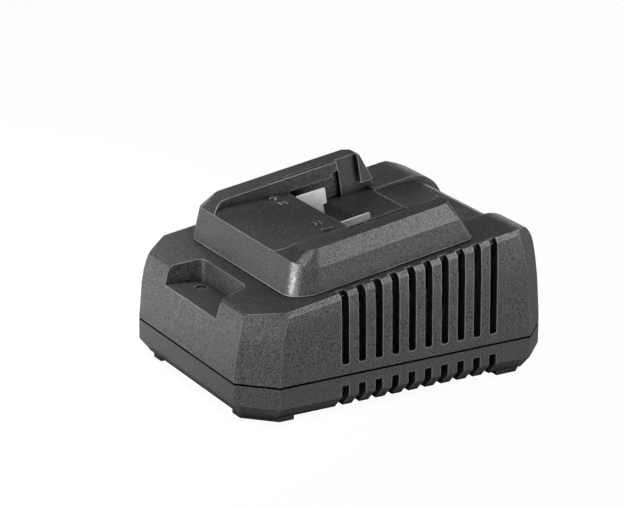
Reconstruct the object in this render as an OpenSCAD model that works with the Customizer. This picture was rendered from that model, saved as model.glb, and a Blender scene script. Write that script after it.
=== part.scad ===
// Slide-pack battery charger: wedge-shaped two-shell housing with a raised battery dock.
// Millimetres. Origin on the table under the middle of the housing, +Z up.
// The status lights face -Y, and the battery slides in from +Y.

/* [Housing] */
// Width of the housing at the split line
body_w = 116; // [96:1:140]
// Length of the housing at the split line
body_l = 150; // [130:1:180]
// Height of the split line between the two shells
split_z = 17.6; // [16:0.2:22]
// Height of the deck plane above the table, at mid length
deck_z = 57.9; // [54:0.5:70]
// Slope of the deck, rising to the rear, in degrees
deck_angle = 8.65; // [6:0.25:10]
// Wall thickness of both shells
wall = 2.6; // [2:0.1:3]
// Corner cut at the front, along each side
front_cut = 14; // [8:0.5:18]
// Corner cut at the rear, along each side
rear_cut = 13; // [8:0.5:18]
// Chamfer of the deck's side edges
deck_chamfer = 1.8; // [0.6:0.1:2]
// Inset of the lower bevel along the sides
side_bevel = 5.7; // [4:0.1:6.5]
// Inset of the lower bevel along the ends and corners
end_bevel = 4.6; // [3.5:0.1:6]
// Radius of the rounded rear edge of the deck
rear_round = 15.5; // [12:0.5:16]

/* [Vents] */
// Number of tall vents on each side
vent_count = 10; // [6:1:11]
// Distance from one vent to the next
vent_pitch = 8.07; // [7:0.1:8.4]
// Width of one vent
vent_w = 3.6; // [2.4:0.1:4]
// Depth of the bars between the vents
vent_depth = 5.6; // [5:0.1:6]
// Height at which the tall vents start
vent_z = 22.4; // [21:0.1:30]

/* [Battery dock] */
// Half width of the dock at its foot
dock_half = 50; // [49:0.25:51]
// Height of the rail tops above the deck, square to it
rail_h = 17.2; // [16:0.2:20]
// Half of the clear width between the rail lips
lip_half = 32.8; // [31:0.2:33.4]
// Depth of the undercut behind each lip
lip_depth = 4.7; // [3.5:0.1:5]
// Thickness of the lips, square to the deck
lip_t = 6.3; // [5:0.1:6.5]

/* [Terminals] */
// Sheet thickness of the blade terminals
blade_t = 1; // [0.8:0.1:1.2]
// Position of the positive blade across the dock
blade_pos_x = -28; // [-28:0.5:-24]
// Position of the negative blade across the dock
blade_neg_x = 11; // [9:0.5:12]
// Height of the blade tops above the deck, square to it
blade_h = 9.5; // [8:0.1:9.6]

/* [Circuit board] */
// Width of the main board
board_w = 76; // [74:1:78]
// Length of the main board
board_l = 118; // [114:1:118]
// Height of the underside of the board
board_z = 12; // [11:0.5:12]

/* [Hidden] */
half_w = body_w / 2;
half_l = body_l / 2;
groove_h = 0.8;
groove_d = 1.3;
base_top = split_z - groove_h / 2;
shell_z = split_z + groove_h / 2;
bottom_z = 2;
bevel_z = 8.2;
slope = tan(deck_angle);
front_h = deck_z - slope * (half_l - 6.4) - split_z;
rear_h = deck_z + slope * (half_l - 18) - split_z;
rear_tangent = half_l - 21;
rim_y = rear_tangent + 3;
arc_y = rear_tangent + sin(deck_angle) * rear_round;
arc_z = deck_z + slope * rear_tangent - cos(deck_angle) * rear_round;
board_t = 1.6;
board_top = board_z + board_t;
room = deck_z - board_top - 14.3;
winding_h = 0.7333 * room;
core_t = 0.3667 * room;
core_z = 1.6 + (winding_h - core_t) / 2;
board_mid = -5;
fit = 0.3;
vent_taper = 0.2;
vent_r = 1.1;
vent_first = -(vent_count - 1) / 2 * vent_pitch + 6.45;
under_x = lip_half + lip_depth;
lip_bottom = rail_h - lip_t;
well_w = -4;
floor_plate = 2.4;
reveal = 0.6;
mark_h = 0.6;
edge_v = -4.6;
post_x = half_w - 15.6;
post_front = -half_l + 29;
post_rear = half_l - 30;
screw_post_r = 3.8;
shank_d = 3;
hole_d = shank_d + 2 * fit;
board_screw_x = board_w / 2 - 5;
board_front = board_mid - board_l / 2 + 6;
board_rear = board_mid + board_l / 2 - 6;
led_x = 13.7;
led_y = -60;
pocket_z = deck_z - 18.9;
inlet_half = 11;
inlet_z0 = board_top;
inlet_z1 = board_top + 11.6;
inlet_y = board_rear - 6;
inlet_pin_z = board_top + 5.8;
inlet_pin_x = 4.3;
terminal_w = well_w - floor_plate;
block_h = 7;
dock_screw_x = 43.4;
dock_screw_v = [-26, 20];
charcoal = [0.16, 0.16, 0.17];
black = [0.08, 0.08, 0.09];
metal = [0.82, 0.82, 0.8];
steel = [0.55, 0.56, 0.58];
$fn = 48;

// Height of the deck plane at a given y.
function deck_at(y) = deck_z + slope * y;

// Outline of the housing seen from above, moved inwards by t.
module plan(t) {
  x = half_w - t;
  y = half_l - t;
  cf = front_cut - 0.586 * t;
  cr = rear_cut - 0.586 * t;
  polygon([
    [-x + cf, -y], [x - cf, -y], [x, -y + cf], [x, y - cr],
    [x - cr, y], [-x + cr, y], [-x, y - cr], [-x, -y + cf]
  ]);
}

// Side profile of the upper housing, as [y, z] points, moved inwards by t.
function side_points(t, z0) = concat(
  [
    [-half_l + t, z0],
    [-half_l + 0.9 + t, split_z + 0.315 * front_h],
    [-half_l + 1.8 + t, split_z + 0.549 * front_h],
    [-half_l + 2.8 + 0.97 * t, split_z + 0.733 * front_h - 0.1 * t],
    [-half_l + 4 + 0.9 * t, split_z + 0.884 * front_h - 0.4 * t],
    [-half_l + 5.1 + 0.75 * t, split_z + 0.964 * front_h - 0.7 * t],
    [-half_l + 6.4 + 0.6 * t, deck_at(-half_l + 6.4 + 0.6 * t) - 1.01 * t]
  ],
  [
    for (i = [0:8])
      let (a = 90 + deck_angle - i * (87 + deck_angle) / 8)
        [arc_y + (rear_round - t) * cos(a), arc_z + (rear_round - t) * sin(a)]
  ],
  [[half_l - t, z0]]
);

// Extrudes a [y, z] outline right across the housing.
module across(width) {
  rotate([90, 0, 90])
    linear_extrude(width, center = true)
      children();
}

// Extrudes an [x, z] outline along the housing.
module along(length) {
  rotate([90, 0, 0])
    linear_extrude(length, center = true)
      children();
}

// Trims one front corner and the opposite rear corner of the upper housing.
module corner_trim(t, z0) {
  f = (half_w + half_l - front_cut) / sqrt(2) - t;
  r = (half_w + half_l - rear_cut) / sqrt(2) - t;
  rotate([0, 0, -45])
    along(400)
      polygon([
        [-r, z0], [-r + 0.1, split_z + 0.131 * rear_h], [-r + 0.9, split_z + 0.449 * rear_h],
        [-r + 1.9, split_z + 0.62 * rear_h], [-r + 3.7, split_z + 0.825 * rear_h],
        [-r + 5.6, split_z + 0.967 * rear_h], [-r + 7, split_z + 1.1 * rear_h], [-r + 7, 150],
        [f - 5.6, 150], [f - 5.6, split_z + 1.105 * front_h], [f - 4.2, split_z + 1.018 * front_h],
        [f - 2.8, split_z + 0.884 * front_h], [f - 1.8, split_z + 0.75 * front_h],
        [f - 1, split_z + 0.549 * front_h], [f - 0.5, split_z + 0.214 * front_h], [f, z0]
      ]);
}

// Solid outer form of the upper housing, moved inwards by t.
module upper_form(t, z0) {
  intersection() {
    across(200)
      polygon(side_points(t, z0));
    along(200)
      polygon([
        [-half_w + t, z0], [half_w - t, z0], [half_w - 0.5 - t, split_z + 27],
        [half_w - 0.5 - t, 120], [-half_w + 0.5 + t, 120],
        [-half_w + 0.5 + t, split_z + 27]
      ]);
    translate([0, 0, split_z + 27.6])
      rotate([4.4, 0, 0])
        along(220)
          polygon([
            [-half_w - 2 + t, -40], [half_w + 2 - t, -40],
            [half_w - 0.4 - t, 0], [half_w - 4 - t, 60],
            [-half_w + 4 + t, 60], [-half_w + 0.4 + t, 0]
          ]);
    corner_trim(t, z0);
    mirror([1, 0, 0])
      corner_trim(t, z0);
    deck_edge(t);
    mirror([1, 0, 0])
      deck_edge(t);
  }
}

// Chamfers the deck's edge on the +X side, whose line closes in a little to the rear.
module deck_edge(t) {
  x = half_w - 1.1 - deck_chamfer - 1.414 * t;
  on_deck()
    rotate([0, 0, 0.2])
      along(400)
        polygon([[-200, 9], [x - 9, 9], [x + 120, -120], [-200, -120]]);
}

// Solid outer form of the lower housing down to height zb, moved inwards by t.
module lower_form(t, zb, zt) {
  depth = (bevel_z - zb) / (bevel_z - bottom_z);
  side = side_bevel * depth - 0.4 * t;
  run = end_bevel * depth - 0.4 * t;
  z1 = bevel_z + 0.4 * t;
  f = (half_w + half_l - front_cut) / sqrt(2) - t;
  r = (half_w + half_l - rear_cut) / sqrt(2) - t;
  intersection() {
    across(200)
      polygon([
        [-half_l + t, zt], [-half_l + t, z1], [-half_l + t + run, zb],
        [half_l - t - run, zb], [half_l - t, z1], [half_l - t, zt]
      ]);
    along(200)
      polygon([
        [-half_w + t, zt], [-half_w + t, z1], [-half_w + t + side, zb],
        [half_w - t - side, zb], [half_w - t, z1], [half_w - t, zt]
      ]);
    corner_bevel(r, f, run, zb, z1, zt);
    mirror([1, 0, 0])
      corner_bevel(r, f, run, zb, z1, zt);
  }
}

// Trims one front corner and the opposite rear corner of the lower housing.
module corner_bevel(r, f, run, zb, z1, zt) {
  rotate([0, 0, -45])
    along(400)
      polygon([
        [-r, zt], [-r, z1], [-r + run, zb], [f - run, zb], [f, z1], [f, zt]
      ]);
}

// Places its children in the sloping frame of the deck: x across, v up the slope, w square to it.
module on_deck() {
  translate([0, 0, deck_z])
    rotate([deck_angle, 0, 0])
      children();
}

// Box given by its two corners.
module block(a, b) {
  translate(a)
    cube([b[0] - a[0], b[1] - a[1], b[2] - a[2]]);
}

// The same child on both sides.
module both_sides() {
  children();
  mirror([1, 0, 0])
    children();
}

// Upright rod from z0 to z1.
module rod(x, y, z0, z1, d) {
  translate([x, y, z0])
    cylinder(h = z1 - z0, d = d);
}

// Positions of the vents along the housing.
function vent_y(i) = vent_first + i * vent_pitch;

// Foot pads under the corners, just inside the bevel's lower edge.
module feet() {
  x = half_w - side_bevel - 0.3;
  y = half_l - end_bevel - 0.3;
  cf = front_cut - 0.586 * end_bevel + side_bevel - end_bevel - 0.2;
  cr = rear_cut - 0.586 * end_bevel + side_bevel - end_bevel - 0.2;
  difference() {
    linear_extrude(bottom_z + 1)
      intersection() {
        polygon([
          [-x + cf, -y], [x - cf, -y], [x, -y + cf], [x, y - cr],
          [x - cr, y], [-x + cr, y], [-x, y - cr], [-x, -y + cf]
        ]);
        union() {
          for (m = [-1, 1]) {
            translate([m * (half_w + 33) / 2, -half_l + 12])
              square([half_w - 33, 24], center = true);
            translate([m * (half_w + 40) / 2, half_l - 13])
              square([half_w - 40, 26], center = true);
          }
        }
      }
    block([-half_w + 12, -half_l + 12, -1], [half_w - 12, half_l - 12, 6]);
  }
}

// Row of vents down both sides, from zb to zt. They start depth in, and step out by taper each.
module vent_row(zb, zt, depth, taper, w) {
  for (i = [0:vent_count - 1])
    both_sides()
      block(
        [half_w - depth + taper * i, vent_y(i) - w / 2, zb],
        [half_w + 1, vent_y(i) + w / 2, zt]
      );
}

// Rounded lower ends of the tall vents.
module vent_ends(depth, taper, w, r) {
  for (i = [0:vent_count - 1])
    both_sides() {
      x = half_w - depth + taper * i;
      block([x, vent_y(i) - w / 2 + r, vent_z], [half_w + 1, vent_y(i) + w / 2 - r, vent_z + 2 * r]);
      for (m = [-1, 1])
        translate([x, vent_y(i) + m * (w / 2 - r), vent_z + r])
          rotate([0, 90, 0])
            cylinder(h = depth + 1 - taper * i, r = r);
    }
}

// Lower shell: tray, corner feet, board standoffs and screw posts.
module base_shell() {
  color(charcoal)
    difference() {
      union() {
        difference() {
          lower_form(0, bottom_z, base_top);
          lower_form(wall, bottom_z + wall, base_top + 1);
        }
        feet();
        difference() {
          lower_form(groove_d, bottom_z, shell_z);
          lower_form(wall, bottom_z - 1, shell_z + 1);
          block([-100, -100, -1], [100, 100, base_top - 1]);
        }
        for (x = [-post_x, post_x])
          for (y = [post_front, post_rear])
            rod(x, y, bottom_z, shell_z, 2 * screw_post_r);
        for (x = [-board_screw_x, board_screw_x])
          for (y = [board_front, board_rear])
            rod(x, y, bottom_z, board_z, 6.4);
      }
      vent_row(-1, 13, 10, 0, vent_w - 0.2);
      for (x = [-post_x, post_x])
        for (y = [post_front, post_rear]) {
          rod(x, y, bottom_z - 1, shell_z + 1, hole_d);
          rod(x, y, bottom_z - 1, bottom_z + 4, 6.6);
        }
      for (x = [-board_screw_x, board_screw_x])
        for (y = [board_front, board_rear])
          rod(x, y, bottom_z + wall, board_z + 1, 2.2);
      block(
        [-inlet_half - fit, half_l - 10, inlet_z0 - fit],
        [inlet_half + fit, half_l + 1, shell_z + 1]
      );
    }
}

// Upper shell: deck, vented sides, status light pocket and battery guide panel.
module top_shell() {
  color(charcoal)
    difference() {
      union() {
        difference() {
          upper_form(0, shell_z);
          upper_form(wall, shell_z - 1);
        }
        // Pocket floor, walls and the light collars below it.
        intersection() {
          upper_form(0, shell_z);
          difference() {
            block([-26.6, -half_l, pocket_z - wall], [26.6, -52.8, 60]);
            block([-30, -half_l + wall, 20], [30, -52, pocket_z - wall]);
          }
        }
        // Thicker sides, so that the bars between the vents are deep.
        intersection() {
          upper_form(0, shell_z);
          both_sides()
            translate([0, 0, vent_z - 2])
              linear_extrude(90)
                polygon([
                  [half_w - vent_depth, vent_y(0) - 4],
                  [half_w - vent_depth + vent_taper * vent_count, vent_y(vent_count - 1) + 4],
                  [half_w, vent_y(vent_count - 1) + 4], [half_w, vent_y(0) - 4]
                ]);
        }
        // Back wall of the panel channel.
        intersection() {
          upper_form(0, shell_z);
          block([-36, half_l - 7.4, shell_z + 6], [36, half_l, 70]);
        }
        // Slab below the channel and its sloping end.
        intersection() {
          upper_form(0, shell_z);
          across(72)
            polygon([
              [rim_y - 18, deck_at(rim_y - 18) - 1], [rim_y - 18, deck_at(rim_y - 18) - 4],
              [rim_y - 6, deck_at(rim_y - 6) - 5],
              [rim_y + 1.6, deck_at(rim_y + 1.6) - 7.4], [half_l - 5, split_z + 28],
              [half_l, split_z + 28], [half_l, 90], [rim_y, 90]
            ]);
        }
        for (x = [-post_x, post_x])
          for (y = [post_front, post_rear])
            intersection() {
              upper_form(0, shell_z);
              rod(x, y, shell_z, 90, 2 * screw_post_r);
            }
        // Seats for the dock screws, hanging below the deck.
        on_deck()
          for (x = [-dock_screw_x, dock_screw_x])
            for (v = dock_screw_v)
              rod(x, v, -wall - 1.4, -wall / 2, 7.4);
      }
      vent_row(vent_z + vent_r, 90, vent_depth + 0.05, vent_taper, vent_w);
      vent_ends(vent_depth + 0.05, vent_taper, vent_w, vent_r);
      pocket_cut();
      panel_cut();
      // Opening under the battery dock.
      on_deck()
        linear_extrude(30, center = true)
          polygon([[-38, -42], [38, -42], [38, 36], [-38, 36]]);
      on_deck()
        for (x = [-dock_screw_x, dock_screw_x])
          for (v = dock_screw_v)
            rod(x, v, -10, 5, hole_d);
      for (x = [-post_x, post_x])
        for (y = [post_front, post_rear])
          rod(x, y, shell_z - 1, shell_z + 17, shank_d - 0.4);
      for (x = [-led_x, led_x])
        rod(x, led_y, pocket_z - wall - 1, pocket_z + 1, 5);
      block(
        [-inlet_half - fit, half_l - 10, shell_z - 1],
        [inlet_half + fit, half_l + 1, inlet_z1 + fit]
      );
    }
}

// Open-fronted pocket in the deck's front edge.
module pocket_cut() {
  difference() {
    intersection() {
      block([-30, -half_l - 1, pocket_z], [30, -50, 70]);
      along(400)
        polygon([[-23.4, pocket_z], [23.4, pocket_z], [24.6, 70], [-24.6, 70]]);
      translate([0, 0, pocket_z])
        linear_extrude(40)
          polygon([
            [-24.6, -half_l - 1], [24.6, -half_l - 1], [23.6, -70], [20.9, -58.6],
            [19.6, -56.6], [17.4, -55.7], [-17.4, -55.7], [-19.6, -56.6],
            [-20.9, -58.6], [-23.6, -70]
          ]);
    }
  }
}

// Shallow channel that guides the battery in from the rear.
module panel_cut() {
  on_deck()
    across(60)
      polygon([[36, 5], [36, -1], [rim_y, -2.5], [80, -2.5], [80, 5]]);
  across(60)
    polygon([
      [rim_y - 1, deck_at(rim_y - 1) - 2.5], [rim_y, deck_at(rim_y) - 2.5],
      [rim_y + 3.2, deck_at(rim_y + 3.2) - 4], [half_l - 4.9, split_z + 33],
      [half_l - 2.9, split_z + 14], [half_l + 9, split_z + 14], [half_l + 9, 90],
      [rim_y - 1, 90]
    ]);
}

// Corner points of the dock's outer form on the +X side, as [x, v, w].
function dock_corner() = concat(
  [
    for (i = [0:8])
      let (a = -90 + i * 90 / 8)
        [dock_half - 12 + 12 * cos(a), -38.3 + 12 * sin(a), 0]
  ],
  [
    for (i = [0:8])
      let (a = -90 + i * 90 / 8)
        [
          dock_half - 12.7 + 12 * cos(a), -33 + 12 * sin(a),
          rail_h - 2.8 - 3.3 * i / 8
        ]
  ],
  [
    for (i = [0:6])
      let (a = -90 + i * 15)
        [dock_half - 11.7 + 5.5 * cos(a), -32.6 + 5.5 * sin(a), rail_h]
  ]
);

// The same points on both sides.
function dock_front() = concat(
  dock_corner(),
  [for (p = dock_corner()) [-p[0], p[1], p[2]]]
);

// Convex solid round a list of points.
module wrap(points) {
  hull()
    polyhedron(
      points = points,
      faces = [for (i = [0:3:len(points) - 3]) [i, i + 1, i + 2]]
    );
}

// Solid outer form of the dock, in the sloping frame.
module dock_form() {
  difference() {
    dock_block();
    // Narrow shadow gap round the foot.
    difference() {
      block([-90, -90, -1], [90, 90, reveal]);
      translate([0, 0, -2])
        linear_extrude(3 + reveal)
          polygon(foot_outline(reveal));
    }
  }
}

// Outline of the dock's foot, moved inwards by t.
function foot_half(t) = concat(
  [
    for (i = [0:8])
      let (a = -90 + i * 90 / 8)
        [dock_half - 12 + (12 - t) * cos(a), -38.3 + (12 - t) * sin(a)]
  ],
  [[dock_half - t, 36 - 0.3 * t], [47.2 - t, 38.5 - t], [41, 39 - t]]
);
function foot_outline(t) = concat(
  foot_half(t),
  [for (i = [len(foot_half(t)) - 1:-1:0]) [-foot_half(t)[i][0], foot_half(t)[i][1]]]
);

// The dock's convex block before the shadow gap.
module dock_block() {
  wrap(concat(
    dock_front(),
    [
      for (x = [-1, 1])
        for (p = [
          [dock_half, 36, 0], [dock_half - 0.7, 31.8, rail_h - 6.1],
          [dock_half - 6.2, 29.5, rail_h], [41, 32.3, rail_h], [41, 34.3, 10.6],
          [41, 37.2, 3.6], [41, 39, 0], [47.2, 38.5, 0]
        ])
          [x * p[0], p[1], p[2]]
    ]
  ));
}

// Clear space above the floor, between and behind the rail lips.
module channel_cut() {
  intersection() {
    across(200)
      polygon([
        [-60, rail_h - 1.13], [-44.95, rail_h - 2.81], [edge_v, rail_h - 7.33],
        [edge_v, well_w], [8, well_w], [15, -0.8], [60, -0.8], [60, 40], [-60, 40]
      ]);
    translate([0, 0, -10])
      linear_extrude(60)
        polygon(concat(
          [
            for (i = [0:8])
              let (a = -90 + i * 90 / 8)
                [lip_half - 12 + 12 * cos(a), -34 + 12 * sin(a)]
          ],
          [[lip_half, 60], [-lip_half, 60]],
          [
            for (i = [0:8])
              let (a = 180 + i * 90 / 8)
                [-lip_half + 12 + 12 * cos(a), -34 + 12 * sin(a)]
          ]
        ));
  }
  both_sides()
    undercut();
}

// Groove behind one lip, with the step and the open end at its rear.
module undercut() {
  difference() {
    block([lip_half - 1, edge_v, well_w], [under_x, 22.2, lip_bottom]);
    across(200)
      polygon([[8, well_w - 1], [8, well_w], [15, -0.8], [30, -0.8], [30, well_w - 1]]);
  }
  across_right([[17.5, lip_bottom - 1], [17.5, rail_h - 4.5], [22, rail_h - 3.8], [22, lip_bottom - 1]]);
  block([lip_half - 1, 20.5, -0.8], [lip_half + 2.6, 31.4, rail_h + 1]);
  block([lip_half - 1, 31, -0.8], [lip_half + 2.6, 60, 3.7]);
}

// Extrudes a [v, w] outline across the groove of the +X rail.
module across_right(points) {
  translate([lip_half - 1, 0, 0])
    rotate([90, 0, 90])
      linear_extrude(under_x - lip_half + 1)
        polygon(points);
}

// Hollow of one rail, open below.
module rail_hollow() {
  x = under_x + 2.6;
  difference() {
    rotate([90, 0, 0])
      translate([0, 0, -29])
        linear_extrude(63)
          polygon([
            [x, -20], [dock_half - 2.6, -20], [dock_half - 2.7, 1],
            [dock_half - 3.4, rail_h - 7.3], [dock_half - 7, rail_h - 3.2],
            [x, rail_h - 3.2]
          ]);
    for (v = dock_screw_v)
      rod(dock_screw_x, v, -1, 30, 7.4);
  }
}

// Hollow under the front floor, open below.
module front_hollow() {
  across(2 * under_x - 6)
    polygon([
      [-46.6, -20], [-46.6, 0], [-42.4, rail_h - 5.6], [edge_v - wall, rail_h - 9.7],
      [edge_v - wall, -20]
    ]);
}

// Battery dock: two overhanging rails joined by a stepped floor.
module battery_dock() {
  color(black)
    on_deck()
      difference() {
        union() {
          difference() {
            dock_form();
            both_sides()
              rail_hollow();
            front_hollow();
          }
          // Floor plate and the well below the blades, hanging into the housing.
          intersection() {
            across(2 * under_x + 5.2 - 2 * wall)
              polygon([
                [edge_v - wall, rail_h - 9], [edge_v - wall, well_w - floor_plate],
                [9, well_w - floor_plate], [16, -0.8 - floor_plate],
                [35.7, -0.8 - floor_plate], [35.7, 0.01], [30, 0.01], [30, 4], [0, 4]
              ]);
            block([-37.7, edge_v - wall, -20], [37.7, 35.7, 20]);
          }
        }
        difference() {
          channel_cut();
          mark_bars();
        }
        // Slots along the rail tops.
        both_sides() {
          block([34.1, -13.3, lip_bottom - 1], [35.6, -5.2, rail_h + 1]);
          block([34.1, -3.9, lip_bottom - 1], [35.6, 15.7, rail_h + 1]);
        }
        // Slots the blades pass down through.
        for (x = [blade_pos_x, blade_neg_x])
          block([x - blade_t / 2 - fit, -4 - fit, -20], [x + blade_t / 2 + fit, 8.5 + fit, 1]);
        for (x = [-dock_screw_x, dock_screw_x])
          for (v = dock_screw_v)
            rod(x, v, -1, 9, shank_d - 0.4);
      }
}

// Raised plus, dots and minus beside the blades, standing on the sloping floor.
module mark_bars() {
  translate([0, -13.6, rail_h - 6.32])
    rotate([-6.4, 0, 0]) {
      block([blade_pos_x - 5.2, -0.45, -1], [blade_pos_x - 0.8, 0.45, mark_h]);
      block([blade_pos_x - 3.45, -2.3, -1], [blade_pos_x - 2.55, 2.3, mark_h]);
      for (x = [blade_pos_x + 4.6, blade_pos_x + 6.8, blade_neg_x - 4.3, blade_neg_x - 2.1])
        for (v = [-1.2, 1.2])
          rod(x, v, -1, mark_h, 1.4);
      block([blade_neg_x + 4.8, -2.8, -1], [blade_neg_x + 5.8, 2.8, mark_h]);
    }
}

// Bent sheet blade standing up through the dock floor.
module blade(x) {
  color(metal)
    on_deck()
      translate([x - blade_t / 2, 0, 0])
        rotate([90, 0, 90])
          linear_extrude(blade_t)
            polygon([
              [-4, terminal_w - block_h], [8.5, terminal_w - block_h], [8.5, 2.2], [10.4, 2.2],
              [10.4, blade_h - 0.3], [10.1, blade_h], [-4, blade_h]
            ]);
}

module blade_positive() {
  blade(blade_pos_x);
}

module blade_negative() {
  blade(blade_neg_x);
}

// Insulating block that holds the blade roots under the dock floor.
module terminal_block() {
  color(black)
    on_deck()
      difference() {
        block(
          [blade_pos_x - 6, -6, terminal_w - block_h],
          [blade_neg_x + 6, 11.4, terminal_w]
        );
        for (x = [blade_pos_x, blade_neg_x])
          block([x - blade_t / 2, -4, -40], [x + blade_t / 2, 8.5, 5]);
        block([blade_pos_x + 8, -2, -40], [blade_neg_x - 8, 7, terminal_w - 2]);
      }
}

// Main board with its screw holes and the slots for the inlet's legs.
module circuit_board() {
  color([0.1, 0.35, 0.2])
    difference() {
      block(
        [-board_w / 2, board_mid - board_l / 2, board_z],
        [board_w / 2, board_mid + board_l / 2, board_top]
      );
      for (x = [-board_screw_x, board_screw_x])
        for (y = [board_front, board_rear])
          rod(x, y, board_z - 1, board_top + 1, 3.2);
      for (x = [-inlet_pin_x, inlet_pin_x])
        block([x - 1.5, inlet_y - 2.6, board_z - 1], [x + 1.5, inlet_y - 1.4, board_top + 1]);
    }
}

// Two-pin mains inlet body standing on the board behind the rear wall.
module mains_inlet() {
  color(black)
    difference() {
      block([-inlet_half, inlet_y, inlet_z0], [inlet_half, half_l - 0.6, inlet_z1]);
      for (x = [-inlet_pin_x, inlet_pin_x])
        translate([x, half_l, inlet_pin_z])
          rotate([90, 0, 0])
            cylinder(h = 14, d = 7.8);
      block(
        [-inlet_pin_x, half_l - 14, inlet_pin_z - 2.4],
        [inlet_pin_x, half_l + 1, inlet_pin_z + 2.4]
      );
      for (x = [-inlet_pin_x, inlet_pin_x])
        block([x - 1.5, inlet_y - 1, inlet_pin_z - 1.5], [x + 1.5, half_l - 13, inlet_pin_z + 1.5]);
    }
}

// Two round contact pins with square shanks and flat legs.
module inlet_pins() {
  color(metal)
    for (x = [-inlet_pin_x, inlet_pin_x]) {
      translate([x, half_l - 4, inlet_pin_z])
        rotate([90, 0, 0])
          cylinder(h = 10.5, d = 2.4);
      block([x - 1.5, inlet_y - 2.6, inlet_pin_z - 1.5], [x + 1.5, half_l - 14, inlet_pin_z + 1.5]);
      block([x - 1.5, inlet_y - 2.6, board_z - 1.5], [x + 1.5, inlet_y - 1.4, inlet_pin_z]);
    }
}

// Pan-head screw with a cross recess, head seat at z = 0, pointing up.
module screw_up(d, length, head_d, head_h) {
  cylinder(h = length, d = d);
  translate([0, 0, -head_h])
    difference() {
      cylinder(h = head_h, d = head_d);
      block([-head_d / 3, -0.4, -1], [head_d / 3, 0.4, head_h / 2]);
      block([-0.4, -head_d / 3, -1], [0.4, head_d / 3, head_h / 2]);
    }
}

// Four screws that join the shells, driven from below.
module housing_screws() {
  color(steel)
    for (x = [-post_x, post_x])
      for (y = [post_front, post_rear])
        translate([x, y, bottom_z + 4])
          screw_up(shank_d, shell_z - bottom_z + 8, 5.8, 2.2);
}

// Four screws that hold the board on its standoffs.
module board_screws() {
  color(steel)
    for (x = [-board_screw_x, board_screw_x])
      for (y = [board_front, board_rear])
        translate([x, y, board_top])
          rotate([180, 0, 0])
            screw_up(2.6, board_t + 5, 5.2, 1.8);
}

// Four screws that hold the dock, driven from inside the housing.
module dock_screws() {
  color(steel)
    on_deck()
      for (x = [-dock_screw_x, dock_screw_x])
        for (v = dock_screw_v)
          translate([x, v, -wall - 1.4])
            screw_up(shank_d, wall + 8, 5.8, 2.2);
}

// Ferrite core of the transformer, with two winding windows.
module transformer_core() {
  color([0.25, 0.25, 0.27])
    difference() {
      block([-30, -19, board_top + core_z], [2, 9, board_top + core_z + core_t]);
      block([-25, -15.5, 0], [-3, -9, 60]);
      block([-25, -1, 0], [-3, 5.5, 60]);
    }
}

// Bobbin round the core's middle leg, standing on the board.
module transformer_bobbin() {
  color([0.85, 0.8, 0.65])
    difference() {
      union() {
        block([-25, -10, board_top + core_z - 1], [-3, 0, board_top + core_z + core_t + 1]);
        block([-25, -15.5, board_top + 0.5], [-23.6, 5.5, board_top + winding_h + 3]);
        block([-4.4, -15.5, board_top + 0.5], [-3, 5.5, board_top + winding_h + 3]);
        for (x = [-25, -5])
          block([x, -15.5, board_top], [x + 2, 5.5, board_top + 1.6]);
      }
      block([-30, -9, board_top + core_z], [2, -1, board_top + core_z + core_t]);
    }
}

// Taped winding round the bobbin.
module transformer_winding() {
  color([0.9, 0.75, 0.2])
    difference() {
      block([-23.6, -15, board_top + 1.6], [-4.4, 5, board_top + winding_h + 1.6]);
      block([-30, -10, board_top + core_z - 1], [2, 0, board_top + core_z + core_t + 1]);
    }
}

// Main storage capacitor with its vented top.
module bulk_capacitor() {
  color([0.12, 0.16, 0.3])
    difference() {
      rod(22, 0, board_top, board_top + room, 18);
      block([15, -0.3, board_top + room - 0.4], [29, 0.3, board_top + room + 1]);
      block([21.7, -7, board_top + room - 0.4], [22.3, 7, board_top + room + 1]);
    }
}

// Two smaller output capacitors.
module output_capacitors() {
  color([0.12, 0.16, 0.3])
    for (x = [-19, -6])
      difference() {
        rod(x, -30, board_top, board_top + 0.667 * room, 10);
        block([x - 4, -30.3, board_top + 0.667 * room - 0.4], [x + 4, -29.7, board_top + 30]);
      }
}

// Boxed film capacitor across the mains.
module film_capacitor() {
  color([0.8, 0.65, 0.15])
    block([15, 28, board_top], [31, 36, board_top + 14]);
}

// Toroid core of the mains choke, lying on the board.
module choke_core() {
  color([0.25, 0.3, 0.25])
    translate([-24, 24, board_top + 1.6])
      difference() {
        cylinder(h = 7, d = 18);
        translate([0, 0, -1])
          cylinder(h = 9, d = 9);
      }
}

// Two windings wrapped round opposite sides of the choke core.
module choke_windings() {
  color([0.75, 0.4, 0.15])
    translate([-24, 24, board_top])
      difference() {
        cylinder(h = 10.2, d = 22);
        translate([0, 0, -1])
          cylinder(h = 13, d = 5.6);
        translate([0, 0, 1.6])
          difference() {
            cylinder(h = 7, d = 18.6);
            translate([0, 0, -1])
              cylinder(h = 9, d = 8.4);
          }
        block([-12, -3.5, -1], [12, 3.5, 12]);
      }
}

// Cartridge fuse in two clips.
module fuse() {
  color([0.85, 0.85, 0.82]) {
    translate([-26, 52, board_top + 3.6])
      rotate([90, 0, 0])
        cylinder(h = 16, d = 5);
    for (y = [38, 48.6])
      block([-28, y, board_top], [-24, y + 1.4, board_top + 3]);
  }
}

// Bridge rectifier standing on its four leads.
module bridge_rectifier() {
  color(black) {
    block([8, 16, board_top + 3], [26, 19.6, board_top + 13]);
    for (x = [9.4, 14, 18.6, 23.2])
      block([x, 17.4, board_top], [x + 1.2, 18.2, board_top + 3]);
  }
}

// Finned plate for the switching transistor.
module primary_heatsink() {
  color([0.7, 0.71, 0.72]) {
    block([34.6, -12, board_top], [36.6, 26, board_top + 26]);
    for (z = [4, 10, 16, 22])
      block([36.6, -12, board_top + z], [39.4, 26, board_top + z + 1.2]);
  }
}

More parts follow.
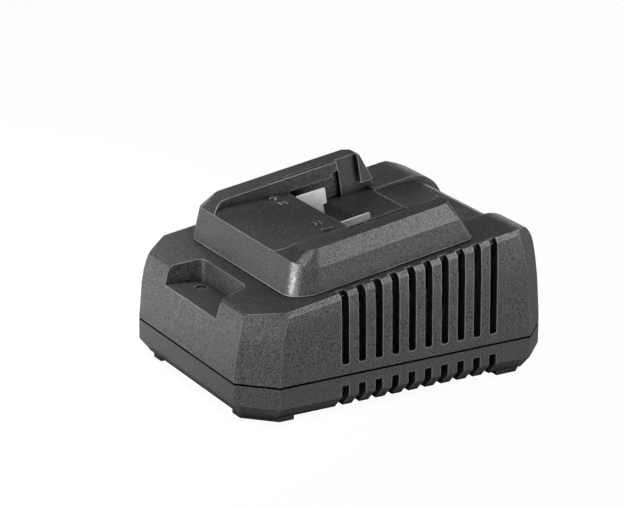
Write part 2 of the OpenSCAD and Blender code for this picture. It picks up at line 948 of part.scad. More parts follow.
// Finned plate for the output rectifier.
module output_heatsink() {
  color([0.7, 0.71, 0.72]) {
    block([-36.6, -41, board_top], [-34.6, -9, board_top + 24]);
    for (z = [4, 10, 16, 22])
      block([-39.4, -41, board_top + z], [-36.6, -9, board_top + z + 1.2]);
  }
}

// Three-lead power package against a plate whose face is at x, tab to the plate.
module power_package(x, y, side) {
  a = side > 0 ? x : x - 4.4;
  block([a, y, board_top + 5], [a + 4.4, y + 10, board_top + 14]);
  tab = side > 0 ? x : x - 1.2;
  block([tab, y, board_top + 14], [tab + 1.2, y + 10, board_top + 20]);
  for (i = [0:2])
    block(
      [a + 1.8, y + 1.6 + i * 2.6, board_top],
      [a + 2.5, y + 2.6 + i * 2.6, board_top + 5]
    );
}

module power_transistor() {
  color(black)
    power_package(34.6, 13, -1);
}

module output_rectifier() {
  color(black)
    power_package(-34.6, -36, 1);
}

// Control chip with a row of legs on each side.
module control_chip() {
  color(black) {
    block([12, -30, board_top + 0.2], [18, -26, board_top + 1.8]);
    for (i = [0:3])
      for (y = [-31, -26])
        block([12.4 + 1.5 * i, y, board_top], [12.9 + 1.5 * i, y + 1, board_top + 0.9]);
  }
}

// Optocoupler between the two sides of the supply.
module optocoupler() {
  color(black) {
    block([4, -24, board_top + 0.4], [10.5, -19.4, board_top + 3.9]);
    for (x = [3, 10.5])
      for (y = [-23.4, -20.6])
        block([x, y, board_top], [x + 1, y + 0.6, board_top + 2.2]);
  }
}

// Two surface-mounted status lights under the pocket.
module status_leds() {
  color([0.9, 0.9, 0.85])
    for (x = [-led_x, led_x]) {
      block([x - 1.7, led_y - 1.4, board_top], [x + 1.7, led_y + 1.4, board_top + 1.4]);
      rod(x, led_y, board_top + 1.4, board_top + 1.9, 2.2);
    }
}

// Two clear light pipes from the lights up into the pocket floor.
module light_pipes() {
  color([0.9, 0.92, 0.9])
    for (x = [-led_x, led_x]) {
      rod(x, led_y, board_top + 1.9, pocket_z - 0.8, 4.4);
      rod(x, led_y, pocket_z - wall - 1.6, pocket_z - wall, 8);
    }
}

// Round lead that follows a list of points.
module lead(points, d) {
  for (i = [0:len(points) - 2]) {
    a = points[i];
    v = points[i + 1] - a;
    translate(a)
      rotate([0, acos(v[2] / norm(v)), atan2(v[1], v[0])])
        cylinder(h = norm(v), d = d);
    if (i > 0)
      translate(a)
        sphere(d = d + 0.4);
  }
}

// Point of the sloping deck frame, in the frame of the housing.
function deck_point(x, v, w) = [
  x, v * cos(deck_angle) - w * sin(deck_angle),
  deck_z + v * sin(deck_angle) + w * cos(deck_angle)
];

// Two insulated leads from the board up to the terminal block.
module output_leads() {
  start = terminal_w - block_h;
  color([0.6, 0.12, 0.1])
    lead([
      [-28, -50, board_top], [-28, -50, deck_z - 19.9], deck_point(blade_pos_x, 3, start - 4),
      deck_point(blade_pos_x, 3, start - 0.1)
    ], 2.4);
  color(black)
    lead([
      [7, -50, board_top], [7, -50, deck_z - 19.9], deck_point(blade_neg_x, 3, start - 4),
      deck_point(blade_neg_x, 3, start - 0.1)
    ], 2.4);
}

base_shell();
top_shell();
battery_dock();
blade_positive();
blade_negative();
terminal_block();
circuit_board();
mains_inlet();
inlet_pins();
housing_screws();
board_screws();
dock_screws();
transformer_core();
transformer_bobbin();
transformer_winding();
bulk_capacitor();
output_capacitors();
film_capacitor();
choke_core();
choke_windings();
fuse();
bridge_rectifier();
primary_heatsink();
output_heatsink();
power_transistor();
output_rectifier();
control_chip();
optocoupler();
status_leds();
light_pipes();
output_leads();
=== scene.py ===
import math

import bmesh
import bpy
from mathutils import Matrix, Vector


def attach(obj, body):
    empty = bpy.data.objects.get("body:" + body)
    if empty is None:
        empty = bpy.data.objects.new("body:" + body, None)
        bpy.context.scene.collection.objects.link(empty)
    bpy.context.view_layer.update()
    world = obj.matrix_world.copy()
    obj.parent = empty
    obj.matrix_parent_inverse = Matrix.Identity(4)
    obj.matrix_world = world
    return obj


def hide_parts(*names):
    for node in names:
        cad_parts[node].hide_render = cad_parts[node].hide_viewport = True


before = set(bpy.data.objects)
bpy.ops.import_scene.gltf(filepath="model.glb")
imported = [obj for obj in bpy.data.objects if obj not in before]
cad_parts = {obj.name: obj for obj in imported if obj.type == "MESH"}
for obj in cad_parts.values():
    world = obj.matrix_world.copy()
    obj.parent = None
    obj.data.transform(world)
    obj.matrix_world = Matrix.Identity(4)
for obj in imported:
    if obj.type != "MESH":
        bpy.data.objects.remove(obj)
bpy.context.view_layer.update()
MM = 0.001

# ---------------------------------------------------------------- camera
# The photograph's viewpoint, solved from the housing's straight edges.
CAMERA_AT = Vector((0.98250, -0.57294, 0.45040))
CAMERA_RIGHT = Vector((0.49398507, 0.86946383, 0.00337661))
CAMERA_UP = Vector((-0.29150827, 0.16195891, 0.94275778))
CAMERA_BACK = Vector((0.81914692, -0.46669258, 0.33346118))
CLIP_NEAR_M = 0.05
CLIP_FAR_M = 60
SENSOR_MM = 36.0
IMAGE_WIDTH_PX = 624
FOCAL_PX = 2786.0


def add_camera():
    data = bpy.data.cameras.new("camera")
    data.sensor_fit = "HORIZONTAL"
    data.sensor_width = SENSOR_MM
    data.lens = SENSOR_MM * FOCAL_PX / IMAGE_WIDTH_PX
    data.clip_start = CLIP_NEAR_M
    data.clip_end = CLIP_FAR_M
    camera = bpy.data.objects.new("camera", data)
    turn = Matrix((CAMERA_RIGHT, CAMERA_UP, CAMERA_BACK)).transposed()
    camera.matrix_world = Matrix.Translation(CAMERA_AT) @ turn.to_4x4()
    bpy.context.scene.collection.objects.link(camera)
    bpy.context.scene.camera = camera


# ---------------------------------------------------------------- node helpers
OPENNESS_SAMPLES = 4


def opaque(color):
    return (*color, 1.0)


class Shader:
    """A material's node tree, with short calls for adding and joining nodes."""

    def __init__(self, name):
        self.material = bpy.data.materials.new(name)
        self.material.use_nodes = True
        self.tree = self.material.node_tree
        self.tree.nodes.clear()
        self.out = self.tree.nodes.new("ShaderNodeOutputMaterial")
        self.coords = self.tree.nodes.new("ShaderNodeTexCoord").outputs["Object"]

    def node(self, kind, **inputs):
        made = self.tree.nodes.new(kind)
        for key, value in inputs.items():
            self.feed(made.inputs[key.replace("_", " ")], value)
        return made

    def feed(self, socket, value):
        if isinstance(value, bpy.types.NodeSocket):
            self.tree.links.new(value, socket)
        else:
            socket.default_value = value

    def show(self, surface):
        self.tree.links.new(surface, self.out.inputs["Surface"])
        return self.material

    def math(self, operation, a, b=0.0):
        made = self.tree.nodes.new("ShaderNodeMath")
        made.operation = operation
        self.feed(made.inputs[0], a)
        self.feed(made.inputs[1], b)
        return made.outputs[0]

    def noise(self, scale, detail=2.0, roughness=0.5, vector=None):
        made = self.node(
            "ShaderNodeTexNoise", Scale=scale, Detail=detail, Roughness=roughness)
        self.feed(made.inputs["Vector"], vector or self.coords)
        return made.outputs["Fac"]

    def stretched(self, factors):
        made = self.tree.nodes.new("ShaderNodeMapping")
        made.inputs["Scale"].default_value = factors
        self.feed(made.inputs["Vector"], self.coords)
        return made.outputs["Vector"]

    def span(self, value, source, target=(0.0, 1.0)):
        """Carries a value from the source range over to the target range, cut at its ends."""
        made = self.tree.nodes.new("ShaderNodeMapRange")
        self.feed(made.inputs["Value"], value)
        made.inputs["From Min"].default_value = source[0]
        made.inputs["From Max"].default_value = source[1]
        made.inputs["To Min"].default_value = target[0]
        made.inputs["To Max"].default_value = target[1]
        return made.outputs["Result"]

    def blend_colors(self, factor, a, b):
        made = self.tree.nodes.new("ShaderNodeMix")
        made.data_type = "RGBA"
        self.feed(made.inputs["Factor"], factor)
        self.feed(made.inputs["A"], opaque(a) if isinstance(a, tuple) else a)
        self.feed(made.inputs["B"], opaque(b) if isinstance(b, tuple) else b)
        return made.outputs["Result"]

    def bump(self, height, distance, strength=1.0, normal=None):
        made = self.node("ShaderNodeBump", Strength=strength, Distance=distance, Height=height)
        if normal is not None:
            self.feed(made.inputs["Normal"], normal)
        return made.outputs["Normal"]

    def from_height(self, height_mm):
        """Distance of the surface point above or below a height of the frame."""
        split = self.node("ShaderNodeSeparateXYZ", Vector=self.coords)
        gap = self.math("SUBTRACT", split.outputs["Z"], height_mm * MM)
        return self.math("ABSOLUTE", gap)

    def openness(self, reach_mm, inside):
        """1 on open surfaces, lower in cavities, or at edges when looking inside."""
        made = self.node("ShaderNodeAmbientOcclusion", Distance=reach_mm * MM)
        made.samples = OPENNESS_SAMPLES
        made.inside = inside
        made.only_local = inside
        return made.outputs["AO"]

    def principled(self, **inputs):
        return self.show(self.node("ShaderNodeBsdfPrincipled", **inputs).outputs["BSDF"])


# ---------------------------------------------------------------- materials
# Range that holds most values of a noise.
MOST = (0.3, 0.7)

# Spark-eroded plastic: two noises make the speckle, whose bright dots are paler and glossier.
FINE_PER_GRAIN = 1.7
FINE_SHARE = 0.5
SPECKLE_RANGE = (0.66, 0.94)
SPECKLE_GLOSS = (0.26, 1.0)
SPECKLE_ROUGHNESS = 0.12
TINT_FROM_SPECKLE = 0.85
TINT_FROM_PATCHES = 0.15
PATCH_SCALE = 46.0
PATCH_RANGE = (0.35, 0.65)
FLOW_SCALE = 9.0
FLOW_DEPTH_MM = 0.06
FLOW_STRENGTH = 0.5
# Painted shade: the plastic's colour and gloss go dark in its cavities.
PAINTED_SHADE_REACH_MM = 5.0
PAINTED_SHADE_RANGE = (0.30, 0.82)
PAINTED_SHADE_FLOOR = 0.03
PAINTED_SHADE_TONE = (0.001, 0.001, 0.001)
# Painted highlight: edges of the plastic are painted pale, unevenly along their length.
EDGE_MM = 0.4
EDGE_RANGE = (0.86, 0.56)
EDGE_HIGHLIGHT_TONE = (0.46, 0.46, 0.462)
LEAST_HIGHLIGHT = 0.55
# Split line between the shells: painted shade inside its gap, no painted edge highlight beside
# it.
SPLIT_Z_MM = 17.6
SPLIT_GAP_MM = 0.5
SPLIT_PLAIN_MM = 1.3
SPLIT_FADE_MM = 0.1


def spark_plastic(name, dark, light, grain_mm, depth_mm, rough):
    """Moulded plastic with a spark-eroded grain, painted shade in its cavities and a painted
    highlight along its edges.
    """
    s = Shader(name)
    grain = s.noise(1 / (grain_mm * MM), detail=2.0, roughness=0.55)
    fine = s.noise(FINE_PER_GRAIN / (grain_mm * MM), detail=2.0, roughness=0.6)
    patches = s.noise(PATCH_SCALE, detail=3.0, roughness=0.55)
    flow = s.noise(FLOW_SCALE, detail=2.0, roughness=0.5)
    mixed = s.math("ADD", grain, s.math("MULTIPLY", fine, FINE_SHARE))
    speckle = s.span(mixed, SPECKLE_RANGE)
    tint = s.math(
        "ADD",
        s.math("MULTIPLY", speckle, TINT_FROM_SPECKLE),
        s.math("MULTIPLY", patches, TINT_FROM_PATCHES),
    )
    from_split = s.from_height(SPLIT_Z_MM)
    in_gap = ((SPLIT_GAP_MM - SPLIT_FADE_MM) * MM, SPLIT_GAP_MM * MM)
    beside_gap = ((SPLIT_PLAIN_MM - SPLIT_FADE_MM) * MM, SPLIT_PLAIN_MM * MM)
    # Painted shade: colour and gloss darken in cavities and inside the split gap.
    painted_shade = s.math(
        "MULTIPLY",
        s.span(s.openness(PAINTED_SHADE_REACH_MM, False), PAINTED_SHADE_RANGE, (PAINTED_SHADE_FLOOR, 1.0)),
        s.span(from_split, in_gap, (PAINTED_SHADE_FLOOR, 1.0)),
    )
    # Painted highlight: pale colour along convex edges, left out beside the split.
    edge = s.math(
        "MULTIPLY",
        s.span(s.openness(EDGE_MM, True), EDGE_RANGE),
        s.span(from_split, beside_gap),
    )
    painted_highlight = s.math("MULTIPLY", edge, s.span(patches, PATCH_RANGE, (LEAST_HIGHLIGHT, 1.0)))
    color = s.blend_colors(tint, dark, light)
    # Painted highlight laid over the colour.
    color = s.blend_colors(painted_highlight, color, EDGE_HIGHLIGHT_TONE)
    # Painted shade laid over the colour.
    color = s.blend_colors(painted_shade, PAINTED_SHADE_TONE, color)
    normal = s.bump(grain, depth_mm * MM)
    normal = s.bump(flow, FLOW_DEPTH_MM * MM, FLOW_STRENGTH, normal)
    roughness = s.span(
        speckle, (0.0, 1.0), (rough + SPECKLE_ROUGHNESS, rough - SPECKLE_ROUGHNESS))
    gloss = s.math("MULTIPLY", s.span(speckle, (0.0, 1.0), SPECKLE_GLOSS), painted_shade)
    return s.principled(
        Base_Color=color, Roughness=roughness, Normal=normal, IOR=1.5, Specular_IOR_Level=gloss)


# Sheet metal: rolling lines along one axis, contact marks, and a shade in its corners.
Y_AXIS = 1
Z_AXIS = 2
LINES_ALONG = 60.0
LINES_ACROSS = 2600.0
LINE_DEPTH_MM = 0.004
LINE_STRENGTH = 0.4
LINE_SMOOTHER = 0.04
LINE_ROUGHER = 0.05
MARK_SCALE = 240.0
STAIN_RANGE = (0.5, 0.72)
STAIN_TONE = 0.86
STAIN_ROUGHNESS = 0.08
SHADE_REACH_MM = 12.0
SHADE_RANGE = (0.30, 0.85)
SHADE_FLOOR = 0.25
SHADE_TONE = (0.02, 0.02, 0.02)


def sheet_metal(name, base, rough, grain_axis, metallic=1.0):
    """Plated sheet with fine rolling lines along one axis and a few contact marks."""
    s = Shader(name)
    factors = tuple(LINES_ALONG if i == grain_axis else LINES_ACROSS for i in range(3))
    lines = s.noise(1.0, detail=3.0, roughness=0.6, vector=s.stretched(factors))
    marks = s.noise(MARK_SCALE, detail=4.0, roughness=0.6)
    stain = s.span(marks, STAIN_RANGE)
    color = s.blend_colors(stain, base, tuple(STAIN_TONE * c for c in base))
    shade = s.span(s.openness(SHADE_REACH_MM, False), SHADE_RANGE, (SHADE_FLOOR, 1.0))
    color = s.blend_colors(shade, SHADE_TONE, color)
    roughness = s.math(
        "ADD",
        s.span(lines, MOST, (rough - LINE_SMOOTHER, rough + LINE_ROUGHER)),
        s.math("MULTIPLY", stain, STAIN_ROUGHNESS),
    )
    normal = s.bump(lines, LINE_DEPTH_MM * MM, LINE_STRENGTH)
    return s.principled(
        Base_Color=color, Roughness=roughness, Normal=normal, Metallic=metallic)


# Inner mouldings: the mottle's scale and range, how far the roughness varies, and the
# strength of the grain's bump.
MOTTLE_SCALE = 120.0
MOTTLE_RANGE = (0.7, 1.3)
MOTTLE_ROUGHNESS = 0.08
GRAIN_STRENGTH = 0.7


def moulded(name, base, rough, grain_mm, depth_mm, contrast=0.25, metallic=0.0):
    """Fine-grained inner part: mottled colour, matching bump and uneven gloss."""
    s = Shader(name)
    grain = s.noise(1 / (grain_mm * MM), detail=4.0, roughness=0.6)
    cloud = s.noise(MOTTLE_SCALE, detail=3.0, roughness=0.6)
    tint = s.span(s.math("ADD", grain, cloud), MOTTLE_RANGE)
    low = tuple(c * (1 - contrast) for c in base)
    high = tuple(min(1.0, c * (1 + contrast)) for c in base)
    color = s.blend_colors(tint, low, high)
    roughness = s.span(cloud, MOST, (rough - MOTTLE_ROUGHNESS, rough + MOTTLE_ROUGHNESS))
    normal = s.bump(grain, depth_mm * MM, GRAIN_STRENGTH)
    return s.principled(
        Base_Color=color, Roughness=roughness, Normal=normal, Metallic=metallic)


# Circuit board: raised tracks of a paler green on a fine weave.
TRACK_SCALE = 150.0
TRACK_STRETCH = (1.0, 2.4, 1.0)
TRACK_EDGE = (0.30, 0.34)
TRACK_DEPTH_MM = 0.035
TRACK_STRENGTH = 0.8
BARE_GREEN = (0.010, 0.075, 0.030)
TRACK_GREEN = (0.018, 0.120, 0.048)
WEAVE_STRETCH = (900.0, 900.0, 10.0)
WEAVE_DEPTH_MM = 0.01
WEAVE_STRENGTH = 0.5
BOARD_ROUGHNESS = (0.28, 0.42)


def board_mask():
    """Green solder mask over copper tracks."""
    s = Shader("solder_mask")
    tracks = s.node(
        "ShaderNodeTexVoronoi", Scale=TRACK_SCALE, Vector=s.stretched(TRACK_STRETCH))
    weave = s.noise(1.0, detail=2.0, roughness=0.5, vector=s.stretched(WEAVE_STRETCH))
    edge = s.span(tracks.outputs["Distance"], TRACK_EDGE)
    color = s.blend_colors(edge, BARE_GREEN, TRACK_GREEN)
    normal = s.bump(weave, WEAVE_DEPTH_MM * MM, WEAVE_STRENGTH)
    normal = s.bump(edge, TRACK_DEPTH_MM * MM, TRACK_STRENGTH, normal)
    roughness = s.span(weave, MOST, BOARD_ROUGHNESS)
    return s.principled(Base_Color=color, Roughness=roughness, Normal=normal)


# Wound wire: wave scale times pitch, painted shade between the turns, and dull patches on them.
WAVE_PER_PITCH = 0.314
WAVE_DISTORTION = 0.6
WAVE_RANGE = (0.0, 0.6)
WIRE_DEPTH_MM = 0.25
WIRE_STRENGTH = 0.8
WIRE_METALLIC = 0.6
WIRE_ROUGHNESS = (0.3, 0.45)
SHADE_BETWEEN_TURNS = 0.25
DULL_TURNS = 0.5
DULL_SCALE = 200.0
DULL_RANGE = (0.4, 0.7)
DULL_SHARE = (0.0, 0.35)


def wound_wire(name, base, pitch_mm):
    """Enamelled wire laid side by side, with painted shade between the turns."""
    s = Shader(name)
    turns = s.node(
        "ShaderNodeTexWave", Scale=WAVE_PER_PITCH / (pitch_mm * MM),
        Distortion=WAVE_DISTORTION, Detail=1.0, Vector=s.coords)
    wave = turns.outputs["Fac"]
    cloud = s.noise(DULL_SCALE, detail=3.0, roughness=0.6)
    between = tuple(SHADE_BETWEEN_TURNS * c for c in base)
    dull = tuple(DULL_TURNS * c for c in base)
    # Painted shade: the colour darkens between the turns.
    color = s.blend_colors(s.span(wave, WAVE_RANGE), between, base)
    color = s.blend_colors(s.span(cloud, DULL_RANGE, DULL_SHARE), color, dull)
    normal = s.bump(wave, WIRE_DEPTH_MM * MM, WIRE_STRENGTH)
    roughness = s.span(cloud, MOST, WIRE_ROUGHNESS)
    return s.principled(
        Base_Color=color, Metallic=WIRE_METALLIC, Roughness=roughness, Normal=normal)


# Light pipes: a fine surface haze and the two tones of their flow lines.
HAZE_SCALE = 900.0
HAZE_DEPTH_MM = 0.01
HAZE_STRENGTH = 0.5
SMOKE_STRETCH = (160.0, 160.0, 30.0)
SMOKE_TONES = ((0.10, 0.105, 0.10), (0.17, 0.175, 0.17))
SMOKE_ROUGHNESS = (0.10, 0.24)


def smoky_plastic():
    """Smoke-tinted moulded plastic with faint flow lines and fine surface haze."""
    s = Shader("smoky_moulding")
    haze = s.noise(HAZE_SCALE, detail=3.0, roughness=0.6)
    flow = s.noise(1.0, detail=2.0, roughness=0.5, vector=s.stretched(SMOKE_STRETCH))
    color = s.blend_colors(flow, *SMOKE_TONES)
    normal = s.bump(haze, HAZE_DEPTH_MM * MM, HAZE_STRENGTH)
    roughness = s.span(haze, MOST, SMOKE_ROUGHNESS)
    return s.principled(
        Base_Color=color, Roughness=roughness, Normal=normal, IOR=1.49, Transmission_Weight=0.5)


# ---------------------------------------------------------------- refined shells
# Deck frame of the CAD, for the crisp marks beside the blades.
DECK_Z_MM = 57.9
DECK_TILT_DEG = -8.65
DECK_TURN = Matrix.Rotation(math.radians(DECK_TILT_DEG), 3, "X")
MARKS_V_MM = (-17.5, -9.5)
MARKS_X_MM = (-36.0, 20.0)
MARKS_W_MM = (10.0, 12.5)
SEAM_Z_MM = (16.8, 18.4)
# Closer points than this are joined, so that no tiny edge holds the rounding back.
WELD_MM = 0.035
# Faces that meet at less than this are one flat face.
FLAT_DEG = 0.4
# Edges that turn by more than this are rounded, with so many facets.
ROUND_DEG = 21.0
ROUND_SEGMENTS = 2
# Shading stays smooth across edges up to this, and large faces keep their own normals.
SMOOTH_DEG = 32.0
FACE_WEIGHT = 80


def stays_crisp(edge, turn):
    """True for the edges of the raised marks and of the seam between the shells."""
    middle = turn @ ((edge.verts[0].co + edge.verts[1].co) / 2) / MM
    tilted = DECK_TURN @ (middle - Vector((0.0, 0.0, DECK_Z_MM)))
    in_marks = (
        MARKS_X_MM[0] < tilted.x < MARKS_X_MM[1]
        and MARKS_V_MM[0] < tilted.y < MARKS_V_MM[1]
        and MARKS_W_MM[0] < tilted.z < MARKS_W_MM[1]
    )
    return in_marks or SEAM_Z_MM[0] < middle.z < SEAM_Z_MM[1]


def rounded_copy(node, name, width_mm):
    """A new mesh with the CAD node's form, its sharp edges rounded over."""
    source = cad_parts[node]
    mesh = source.data.copy()
    mesh.name = name
    mesh.materials.clear()
    bm = bmesh.new()
    bm.from_mesh(mesh)
    bmesh.ops.remove_doubles(bm, verts=bm.verts, dist=WELD_MM * MM)
    bmesh.ops.dissolve_limit(
        bm, angle_limit=math.radians(FLAT_DEG), use_dissolve_boundaries=False,
        verts=bm.verts, edges=bm.edges, delimit=set(),
    )
    bmesh.ops.dissolve_degenerate(bm, dist=WELD_MM * MM, edges=bm.edges)
    bm.normal_update()
    limit = math.radians(ROUND_DEG)
    sharp = []
    for e in bm.edges:
        if len(e.link_faces) != 2 or e.calc_face_angle(0.0) <= limit:
            continue
        if not stays_crisp(e, source.matrix_world):
            sharp.append(e)
    bmesh.ops.bevel(
        bm, geom=sharp, offset=width_mm * MM, offset_type="OFFSET", segments=ROUND_SEGMENTS,
        profile=0.5, affect="EDGES", clamp_overlap=True, miter_outer="ARC",
        harden_normals=False,
    )
    for f in bm.faces:
        f.smooth = True
    bm.to_mesh(mesh)
    bm.free()
    piece = bpy.data.objects.new(name, mesh)
    bpy.context.scene.collection.objects.link(piece)
    return piece


def soften_normals(piece):
    """Smooth shading across shallow edges, with flat faces kept flat."""
    bpy.context.view_layer.objects.active = piece
    for o in bpy.context.selected_objects:
        o.select_set(False)
    piece.select_set(True)
    bpy.ops.object.shade_smooth_by_angle(angle=math.radians(SMOOTH_DEG))
    weighted = piece.modifiers.new("weighted", "WEIGHTED_NORMAL")
    weighted.keep_sharp = True
    weighted.weight = FACE_WEIGHT
    bpy.ops.object.modifier_apply(modifier=weighted.name)


def give(piece, material):
    piece.data.materials.clear()
    piece.data.materials.append(material)


def dress(node, material):
    """Puts a material on every slot of a CAD node that stays as it is."""
    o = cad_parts[node]
    if not o.material_slots:
        o.data.materials.append(material)
    for s in o.material_slots:
        s.material = material


# ---------------------------------------------------------------- studio
# Lamps: name, place, aim, width and height, watts, spread in degrees. Lengths are metres.
LAMPS = (
    ("front_pool", (-0.05, -0.30, 0.90), (-0.20, -0.26, 0.0), (0.25, 0.25), 2.7, 35.0),
    ("front_low", (0.04, -1.20, 0.14), (0, 0, 0.05), (0.24, 0.16), 12.5, 180.0),
    ("right_high", (0.42, 0.62, 1.05), (0, 0, 0.05), (0.6, 0.6), 9.0, 180.0),
    ("edge_key", (0.76, 0.64, 0.92), (0, 0, 0.05), (0.18, 0.18), 1.6, 180.0),
    ("right_low", (1.15, 0.66, 0.17), (0, 0, 0.07), (0.8, 0.3), 8.8, 180.0),
)
# Brightness of the sky at the horizon.
HORIZON = 2.8
# Heights in the sky, from 0 at the horizon to 1 overhead, each with its share of HORIZON.
SKY_LOW = (0.0, 1.0)
SKY_MIDDLE = (0.28, 0.02)
SKY_TOP = (0.75, 0.01)
# Distance from the floor's middle to each of its sides.
FLOOR_REACH_M = 8.0
FLOOR_CELLS = 8
# Share of plain white over the floor, and the floor's tone to the object and to the camera.
FLOOR_VEIL = 0.96
FLOOR_TONE = (0.25, 0.25, 0.25)
FLOOR_SEEN = (0.95, 0.95, 0.95)
WHITE = (1, 1, 1, 1)


def add_area(name, at, look, size, power, spread):
    data = bpy.data.lights.new(name, "AREA")
    data.shape = "RECTANGLE"
    data.size = size[0]
    data.size_y = size[1]
    data.energy = power
    data.spread = math.radians(spread)
    lamp = bpy.data.objects.new(name, data)
    lamp.location = at
    lamp.rotation_euler = (Vector(look) - Vector(at)).to_track_quat("-Z", "Y").to_euler()
    bpy.context.scene.collection.objects.link(lamp)


def set_stop(stop, spot):
    """Puts a stop of the sky's colour ramp at its height, with its grey."""
    stop.position = spot[0]
    stop.color = opaque((spot[1],) * 3)


def add_world():
    """White to the camera; to the object a bright horizon under a dim ceiling."""
    world = bpy.data.worlds.new("studio")
    world.use_nodes = True
    bpy.context.scene.world = world
    tree = world.node_tree
    tree.nodes.clear()
    out = tree.nodes.new("ShaderNodeOutputWorld")
    seen = tree.nodes.new("ShaderNodeBackground")
    seen.inputs["Color"].default_value = WHITE
    seen.inputs["Strength"].default_value = 1.0
    lit = tree.nodes.new("ShaderNodeBackground")
    coords = tree.nodes.new("ShaderNodeTexCoord")
    split = tree.nodes.new("ShaderNodeSeparateXYZ")
    ramp = tree.nodes.new("ShaderNodeValToRGB")
    path = tree.nodes.new("ShaderNodeLightPath")
    mix = tree.nodes.new("ShaderNodeMixShader")
    tree.links.new(coords.outputs["Generated"], split.inputs[0])
    tree.links.new(split.outputs["Z"], ramp.inputs["Fac"])
    stops = ramp.color_ramp.elements
    set_stop(stops[0], SKY_LOW)
    set_stop(stops[1], SKY_TOP)
    set_stop(stops.new(SKY_MIDDLE[0]), SKY_MIDDLE)
    tree.links.new(ramp.outputs["Color"], lit.inputs["Color"])
    lit.inputs["Strength"].default_value = HORIZON
    tree.links.new(path.outputs["Is Camera Ray"], mix.inputs["Fac"])
    tree.links.new(lit.outputs[0], mix.inputs[1])
    tree.links.new(seen.outputs[0], mix.inputs[2])
    tree.links.new(mix.outputs[0], out.inputs["Surface"])


def add_floor():
    """Pale table top that keeps a soft shadow and runs out to white."""
    mesh = bpy.data.meshes.new("floor")
    bm = bmesh.new()
    bmesh.ops.create_grid(
        bm, x_segments=FLOOR_CELLS, y_segments=FLOOR_CELLS, size=FLOOR_REACH_M)
    bm.to_mesh(mesh)
    bm.free()
    floor = bpy.data.objects.new("floor", mesh)
    bpy.context.scene.collection.objects.link(floor)
    s = Shader("pale_floor")
    path = s.node("ShaderNodeLightPath")
    tone = s.blend_colors(path.outputs["Is Camera Ray"], FLOOR_TONE, FLOOR_SEEN)
    diffuse = s.node("ShaderNodeBsdfDiffuse", Color=tone)
    white = s.node("ShaderNodeEmission", Color=WHITE, Strength=1.0)
    mix = s.node("ShaderNodeMixShader")
    s.feed(mix.inputs["Fac"], s.math("MULTIPLY", path.outputs["Is Camera Ray"], FLOOR_VEIL))
    s.feed(mix.inputs[1], diffuse.outputs[0])
    s.feed(mix.inputs[2], white.outputs[0])
    mesh.materials.append(s.show(mix.outputs[0]))


# ---------------------------------------------------------------- build
add_camera()
add_world()
add_floor()
for lamp in LAMPS:
    add_area(*lamp)

housing = spark_plastic(
    "charcoal_spark_plastic", dark=(0.006, 0.006, 0.0064), light=(0.088, 0.088, 0.090),
    grain_mm=0.50, depth_mm=0.10, rough=0.36)
dock_plastic = spark_plastic(
    "black_spark_plastic", dark=(0.005, 0.005, 0.0054), light=(0.072, 0.072, 0.074),
    grain_mm=0.46, depth_mm=0.08, rough=0.33)

# CAD node, new piece, width of its rounded edges in millimetres, material, slot.
REFINED = (
    ("top_shell", "housing_top", 0.32, housing, "housing"),
    ("base_shell", "housing_base", 0.30, housing, "housing"),
    ("battery_dock", "dock", 0.28, dock_plastic, "dock"),
)
for node, name, width, material, slot in REFINED:
    piece = rounded_copy(node, name, width)
    soften_normals(piece)
    give(piece, material)
    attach(piece, "root")
    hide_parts(node)

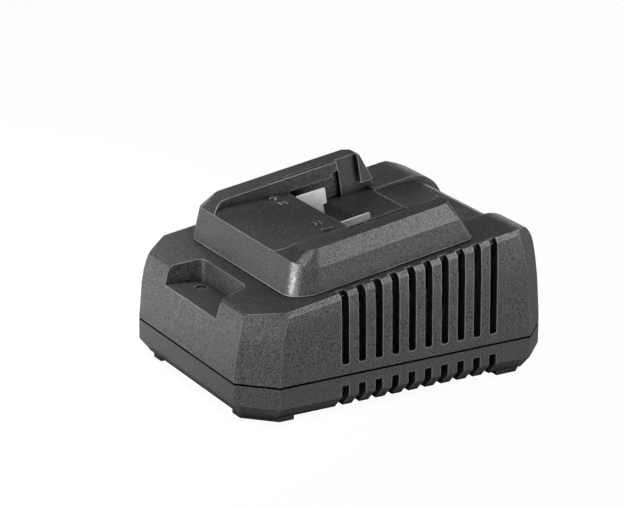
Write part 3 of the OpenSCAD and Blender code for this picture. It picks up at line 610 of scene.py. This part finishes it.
DRESSED = {
    "blade_positive": sheet_metal(
        "blade_plating", (0.86, 0.86, 0.86), rough=0.34, grain_axis=Z_AXIS, metallic=0.35),
    "inlet_pins": sheet_metal(
        "pin_plating", (0.78, 0.76, 0.72), rough=0.30, grain_axis=Y_AXIS),
    "terminal_block": moulded(
        "terminal_plastic", (0.020, 0.020, 0.021), rough=0.5, grain_mm=0.4, depth_mm=0.04),
    "mains_inlet": moulded(
        "inlet_plastic", (0.018, 0.018, 0.018), rough=0.42, grain_mm=0.3, depth_mm=0.03),
    "circuit_board": board_mask(),
    "housing_screws": moulded(
        "screw_zinc", (0.46, 0.47, 0.49), rough=0.38, grain_mm=0.25, depth_mm=0.02,
        contrast=0.2, metallic=1.0),
    "transformer_core": moulded(
        "ferrite", (0.050, 0.050, 0.054), rough=0.55, grain_mm=0.5, depth_mm=0.08),
    "transformer_bobbin": moulded(
        "bobbin_plastic", (0.040, 0.036, 0.030), rough=0.48, grain_mm=0.4, depth_mm=0.03),
    # Painted shade: the tape is coloured dark so that it reads as the shade inside the housing.
    "transformer_winding": wound_wire("winding_tape", (0.030, 0.024, 0.016), pitch_mm=1.2),
    # Painted shade: the capacitor sleeves are coloured dark so that they read as the shade
    # inside the housing.
    "bulk_capacitor": moulded(
        "can_sleeve", (0.010, 0.012, 0.022), rough=0.36, grain_mm=0.8, depth_mm=0.02),
    "film_capacitor": moulded(
        "film_case", (0.045, 0.034, 0.020), rough=0.44, grain_mm=0.6, depth_mm=0.03),
    "choke_windings": wound_wire("choke_wire", (0.55, 0.20, 0.05), pitch_mm=0.8),
    "fuse": moulded(
        "fuse_ceramic", (0.62, 0.62, 0.58), rough=0.36, grain_mm=0.5, depth_mm=0.02),
    # Painted shade: the heatsinks are coloured dark so that no lit metal shows inside the
    # housing, which lies in shade.
    "primary_heatsink": sheet_metal(
        "heatsink_darkened_for_shade", (0.030, 0.030, 0.032), rough=0.42, grain_axis=Y_AXIS, metallic=0.5),
    "bridge_rectifier": moulded(
        "epoxy", (0.022, 0.022, 0.024), rough=0.50, grain_mm=0.35, depth_mm=0.03),
    "status_leds": moulded(
        "led_body", (0.66, 0.66, 0.60), rough=0.35, grain_mm=0.3, depth_mm=0.01),
    "light_pipes": smoky_plastic(),
    "output_leads": moulded(
        "lead_jacket", (0.060, 0.008, 0.006), rough=0.55, grain_mm=0.5, depth_mm=0.02),
}
SHARED = {
    "blade_negative": "blade_positive",
    "board_screws": "housing_screws",
    "dock_screws": "housing_screws",
    "output_capacitors": "bulk_capacitor",
    "choke_core": "transformer_core",
    "output_heatsink": "primary_heatsink",
    "power_transistor": "bridge_rectifier",
    "output_rectifier": "bridge_rectifier",
    "control_chip": "bridge_rectifier",
    "optocoupler": "bridge_rectifier",
}
for node, material in DRESSED.items():
    dress(node, material)
for node, like in SHARED.items():
    dress(node, DRESSED[like])

bpy.context.scene.view_settings.view_transform = "Standard"
